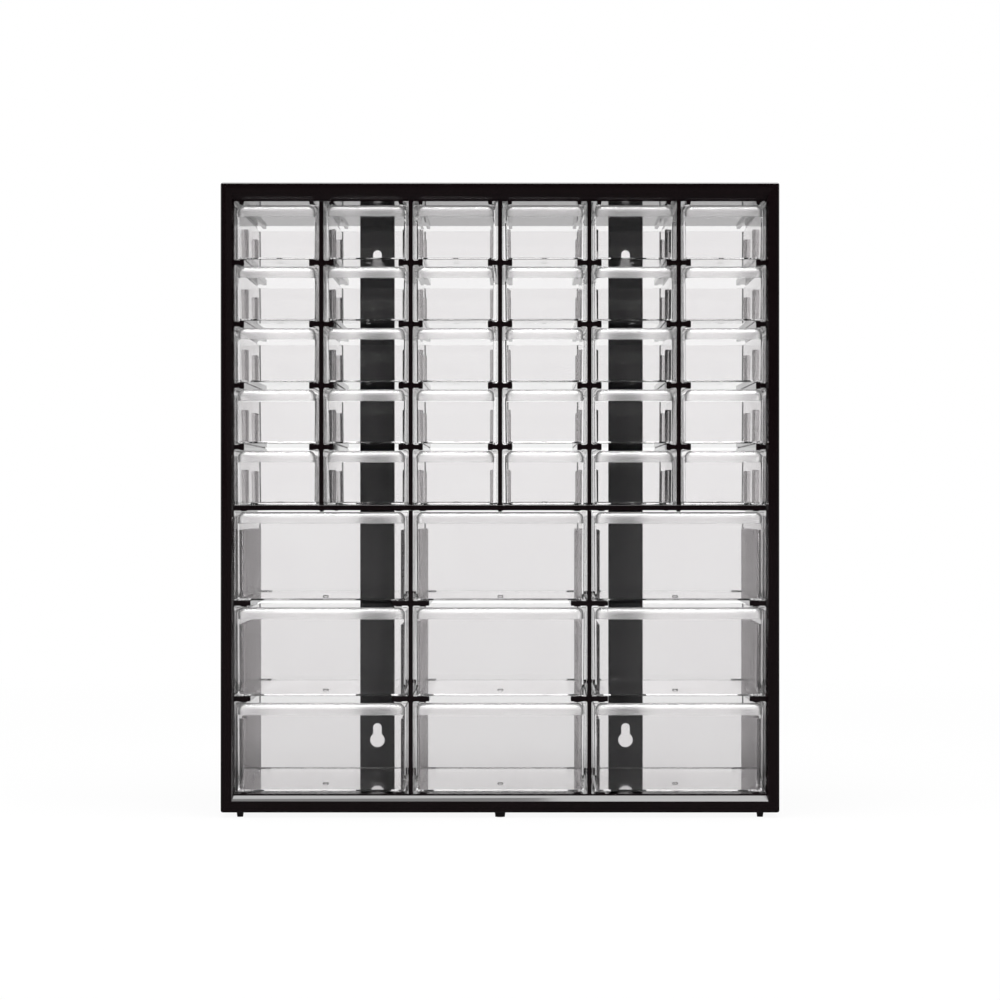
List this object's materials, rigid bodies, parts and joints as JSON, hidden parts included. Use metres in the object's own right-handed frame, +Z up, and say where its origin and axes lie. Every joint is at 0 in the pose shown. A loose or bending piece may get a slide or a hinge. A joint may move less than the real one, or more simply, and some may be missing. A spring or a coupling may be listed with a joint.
{
  "type": "parts bin cabinet",
  "caption": "Wall-hung or free-standing cabinet of small clear pull-out drawers above a shelf and larger clear drawers below, in a black open-backed housing.",
  "frame": {"origin": "middle of the bottom of the whole cabinet, on the surface that its feet stand on", "axes": "+Z up; +X to the right seen from the front; -Y out of the front, the way the drawers open"},
  "size_m": [0.365, 0.155, 0.415],
  "materials": {
    "housing_black": "gloss",
    "drawer_clear": "clear gloss"
  },
  "bodies": {
    "housing": {"housing_shell": "housing_black", "side_panel_left": "housing_black", "side_panel_right": "housing_black", "floor_panel": "housing_black", "ceiling_panel": "housing_black", "shelf": "housing_black", "partition_long_left": "housing_black", "partition_long_right": "housing_black", "partition_short_left": "housing_black", "partition_short_centre": "housing_black", "partition_short_right": "housing_black", "rear_strap_left": "housing_black", "rear_strap_right": "housing_black", "stacking_feet": "housing_black"},
    "small_drawer_r1_c1": {"small_drawer_r1_c1": "drawer_clear"},
    "small_drawer_r1_c2": {"small_drawer_r1_c2": "drawer_clear"},
    "small_drawer_r1_c3": {"small_drawer_r1_c3": "drawer_clear"},
    "small_drawer_r1_c4": {"small_drawer_r1_c4": "drawer_clear"},
    "small_drawer_r1_c5": {"small_drawer_r1_c5": "drawer_clear"},
    "small_drawer_r1_c6": {"small_drawer_r1_c6": "drawer_clear"},
    "small_drawer_r2_c1": {"small_drawer_r2_c1": "drawer_clear"},
    "small_drawer_r2_c2": {"small_drawer_r2_c2": "drawer_clear"},
    "small_drawer_r2_c3": {"small_drawer_r2_c3": "drawer_clear"},
    "small_drawer_r2_c4": {"small_drawer_r2_c4": "drawer_clear"},
    "small_drawer_r2_c5": {"small_drawer_r2_c5": "drawer_clear"},
    "small_drawer_r2_c6": {"small_drawer_r2_c6": "drawer_clear"},
    "small_drawer_r3_c1": {"small_drawer_r3_c1": "drawer_clear"},
    "small_drawer_r3_c2": {"small_drawer_r3_c2": "drawer_clear"},
    "small_drawer_r3_c3": {"small_drawer_r3_c3": "drawer_clear"},
    "small_drawer_r3_c4": {"small_drawer_r3_c4": "drawer_clear"},
    "small_drawer_r3_c5": {"small_drawer_r3_c5": "drawer_clear"},
    "small_drawer_r3_c6": {"small_drawer_r3_c6": "drawer_clear"},
    "small_drawer_r4_c1": {"small_drawer_r4_c1": "drawer_clear"},
    "small_drawer_r4_c2": {"small_drawer_r4_c2": "drawer_clear"},
    "small_drawer_r4_c3": {"small_drawer_r4_c3": "drawer_clear"},
    "small_drawer_r4_c4": {"small_drawer_r4_c4": "drawer_clear"},
    "small_drawer_r4_c5": {"small_drawer_r4_c5": "drawer_clear"},
    "small_drawer_r4_c6": {"small_drawer_r4_c6": "drawer_clear"},
    "small_drawer_r5_c1": {"small_drawer_r5_c1": "drawer_clear"},
    "small_drawer_r5_c2": {"small_drawer_r5_c2": "drawer_clear"},
    "small_drawer_r5_c3": {"small_drawer_r5_c3": "drawer_clear"},
    "small_drawer_r5_c4": {"small_drawer_r5_c4": "drawer_clear"},
    "small_drawer_r5_c5": {"small_drawer_r5_c5": "drawer_clear"},
    "small_drawer_r5_c6": {"small_drawer_r5_c6": "drawer_clear"},
    "large_drawer_r1_c1": {"large_drawer_r1_c1": "drawer_clear"},
    "large_drawer_r1_c2": {"large_drawer_r1_c2": "drawer_clear"},
    "large_drawer_r1_c3": {"large_drawer_r1_c3": "drawer_clear"},
    "large_drawer_r2_c1": {"large_drawer_r2_c1": "drawer_clear"},
    "large_drawer_r2_c2": {"large_drawer_r2_c2": "drawer_clear"},
    "large_drawer_r2_c3": {"large_drawer_r2_c3": "drawer_clear"},
    "large_drawer_r3_c1": {"large_drawer_r3_c1": "drawer_clear"},
    "large_drawer_r3_c2": {"large_drawer_r3_c2": "drawer_clear"},
    "large_drawer_r3_c3": {"large_drawer_r3_c3": "drawer_clear"}
  },
  "joints": [
    {"name": "slide_small_drawer_r1_c1", "type": "slide", "parent": "housing", "child": "small_drawer_r1_c1", "axis": [0, -1, 0], "range_m": [0, 0.115]},
    {"name": "slide_small_drawer_r1_c2", "type": "slide", "parent": "housing", "child": "small_drawer_r1_c2", "axis": [0, -1, 0], "range_m": [0, 0.115]},
    {"name": "slide_small_drawer_r1_c3", "type": "slide", "parent": "housing", "child": "small_drawer_r1_c3", "axis": [0, -1, 0], "range_m": [0, 0.115]},
    {"name": "slide_small_drawer_r1_c4", "type": "slide", "parent": "housing", "child": "small_drawer_r1_c4", "axis": [0, -1, 0], "range_m": [0, 0.115]},
    {"name": "slide_small_drawer_r1_c5", "type": "slide", "parent": "housing", "child": "small_drawer_r1_c5", "axis": [0, -1, 0], "range_m": [0, 0.115]},
    {"name": "slide_small_drawer_r1_c6", "type": "slide", "parent": "housing", "child": "small_drawer_r1_c6", "axis": [0, -1, 0], "range_m": [0, 0.115]},
    {"name": "slide_small_drawer_r2_c1", "type": "slide", "parent": "housing", "child": "small_drawer_r2_c1", "axis": [0, -1, 0], "range_m": [0, 0.115]},
    {"name": "slide_small_drawer_r2_c2", "type": "slide", "parent": "housing", "child": "small_drawer_r2_c2", "axis": [0, -1, 0], "range_m": [0, 0.115]},
    {"name": "slide_small_drawer_r2_c3", "type": "slide", "parent": "housing", "child": "small_drawer_r2_c3", "axis": [0, -1, 0], "range_m": [0, 0.115]},
    {"name": "slide_small_drawer_r2_c4", "type": "slide", "parent": "housing", "child": "small_drawer_r2_c4", "axis": [0, -1, 0], "range_m": [0, 0.115]},
    {"name": "slide_small_drawer_r2_c5", "type": "slide", "parent": "housing", "child": "small_drawer_r2_c5", "axis": [0, -1, 0], "range_m": [0, 0.115]},
    {"name": "slide_small_drawer_r2_c6", "type": "slide", "parent": "housing", "child": "small_drawer_r2_c6", "axis": [0, -1, 0], "range_m": [0, 0.115]},
    {"name": "slide_small_drawer_r3_c1", "type": "slide", "parent": "housing", "child": "small_drawer_r3_c1", "axis": [0, -1, 0], "range_m": [0, 0.115]},
    {"name": "slide_small_drawer_r3_c2", "type": "slide", "parent": "housing", "child": "small_drawer_r3_c2", "axis": [0, -1, 0], "range_m": [0, 0.115]},
    {"name": "slide_small_drawer_r3_c3", "type": "slide", "parent": "housing", "child": "small_drawer_r3_c3", "axis": [0, -1, 0], "range_m": [0, 0.115]},
    {"name": "slide_small_drawer_r3_c4", "type": "slide", "parent": "housing", "child": "small_drawer_r3_c4", "axis": [0, -1, 0], "range_m": [0, 0.115]},
    {"name": "slide_small_drawer_r3_c5", "type": "slide", "parent": "housing", "child": "small_drawer_r3_c5", "axis": [0, -1, 0], "range_m": [0, 0.115]},
    {"name": "slide_small_drawer_r3_c6", "type": "slide", "parent": "housing", "child": "small_drawer_r3_c6", "axis": [0, -1, 0], "range_m": [0, 0.115]},
    {"name": "slide_small_drawer_r4_c1", "type": "slide", "parent": "housing", "child": "small_drawer_r4_c1", "axis": [0, -1, 0], "range_m": [0, 0.115]},
    {"name": "slide_small_drawer_r4_c2", "type": "slide", "parent": "housing", "child": "small_drawer_r4_c2", "axis": [0, -1, 0], "range_m": [0, 0.115]},
    {"name": "slide_small_drawer_r4_c3", "type": "slide", "parent": "housing", "child": "small_drawer_r4_c3", "axis": [0, -1, 0], "range_m": [0, 0.115]},
    {"name": "slide_small_drawer_r4_c4", "type": "slide", "parent": "housing", "child": "small_drawer_r4_c4", "axis": [0, -1, 0], "range_m": [0, 0.115]},
    {"name": "slide_small_drawer_r4_c5", "type": "slide", "parent": "housing", "child": "small_drawer_r4_c5", "axis": [0, -1, 0], "range_m": [0, 0.115]},
    {"name": "slide_small_drawer_r4_c6", "type": "slide", "parent": "housing", "child": "small_drawer_r4_c6", "axis": [0, -1, 0], "range_m": [0, 0.115]},
    {"name": "slide_small_drawer_r5_c1", "type": "slide", "parent": "housing", "child": "small_drawer_r5_c1", "axis": [0, -1, 0], "range_m": [0, 0.115]},
    {"name": "slide_small_drawer_r5_c2", "type": "slide", "parent": "housing", "child": "small_drawer_r5_c2", "axis": [0, -1, 0], "range_m": [0, 0.115]},
    {"name": "slide_small_drawer_r5_c3", "type": "slide", "parent": "housing", "child": "small_drawer_r5_c3", "axis": [0, -1, 0], "range_m": [0, 0.115]},
    {"name": "slide_small_drawer_r5_c4", "type": "slide", "parent": "housing", "child": "small_drawer_r5_c4", "axis": [0, -1, 0], "range_m": [0, 0.115]},
    {"name": "slide_small_drawer_r5_c5", "type": "slide", "parent": "housing", "child": "small_drawer_r5_c5", "axis": [0, -1, 0], "range_m": [0, 0.115]},
    {"name": "slide_small_drawer_r5_c6", "type": "slide", "parent": "housing", "child": "small_drawer_r5_c6", "axis": [0, -1, 0], "range_m": [0, 0.115]},
    {"name": "slide_large_drawer_r1_c1", "type": "slide", "parent": "housing", "child": "large_drawer_r1_c1", "axis": [0, -1, 0], "range_m": [0, 0.115]},
    {"name": "slide_large_drawer_r1_c2", "type": "slide", "parent": "housing", "child": "large_drawer_r1_c2", "axis": [0, -1, 0], "range_m": [0, 0.115]},
    {"name": "slide_large_drawer_r1_c3", "type": "slide", "parent": "housing", "child": "large_drawer_r1_c3", "axis": [0, -1, 0], "range_m": [0, 0.115]},
    {"name": "slide_large_drawer_r2_c1", "type": "slide", "parent": "housing", "child": "large_drawer_r2_c1", "axis": [0, -1, 0], "range_m": [0, 0.115]},
    {"name": "slide_large_drawer_r2_c2", "type": "slide", "parent": "housing", "child": "large_drawer_r2_c2", "axis": [0, -1, 0], "range_m": [0, 0.115]},
    {"name": "slide_large_drawer_r2_c3", "type": "slide", "parent": "housing", "child": "large_drawer_r2_c3", "axis": [0, -1, 0], "range_m": [0, 0.115]},
    {"name": "slide_large_drawer_r3_c1", "type": "slide", "parent": "housing", "child": "large_drawer_r3_c1", "axis": [0, -1, 0], "range_m": [0, 0.115]},
    {"name": "slide_large_drawer_r3_c2", "type": "slide", "parent": "housing", "child": "large_drawer_r3_c2", "axis": [0, -1, 0], "range_m": [0, 0.115]},
    {"name": "slide_large_drawer_r3_c3", "type": "slide", "parent": "housing", "child": "large_drawer_r3_c3", "axis": [0, -1, 0], "range_m": [0, 0.115]}
  ]
}
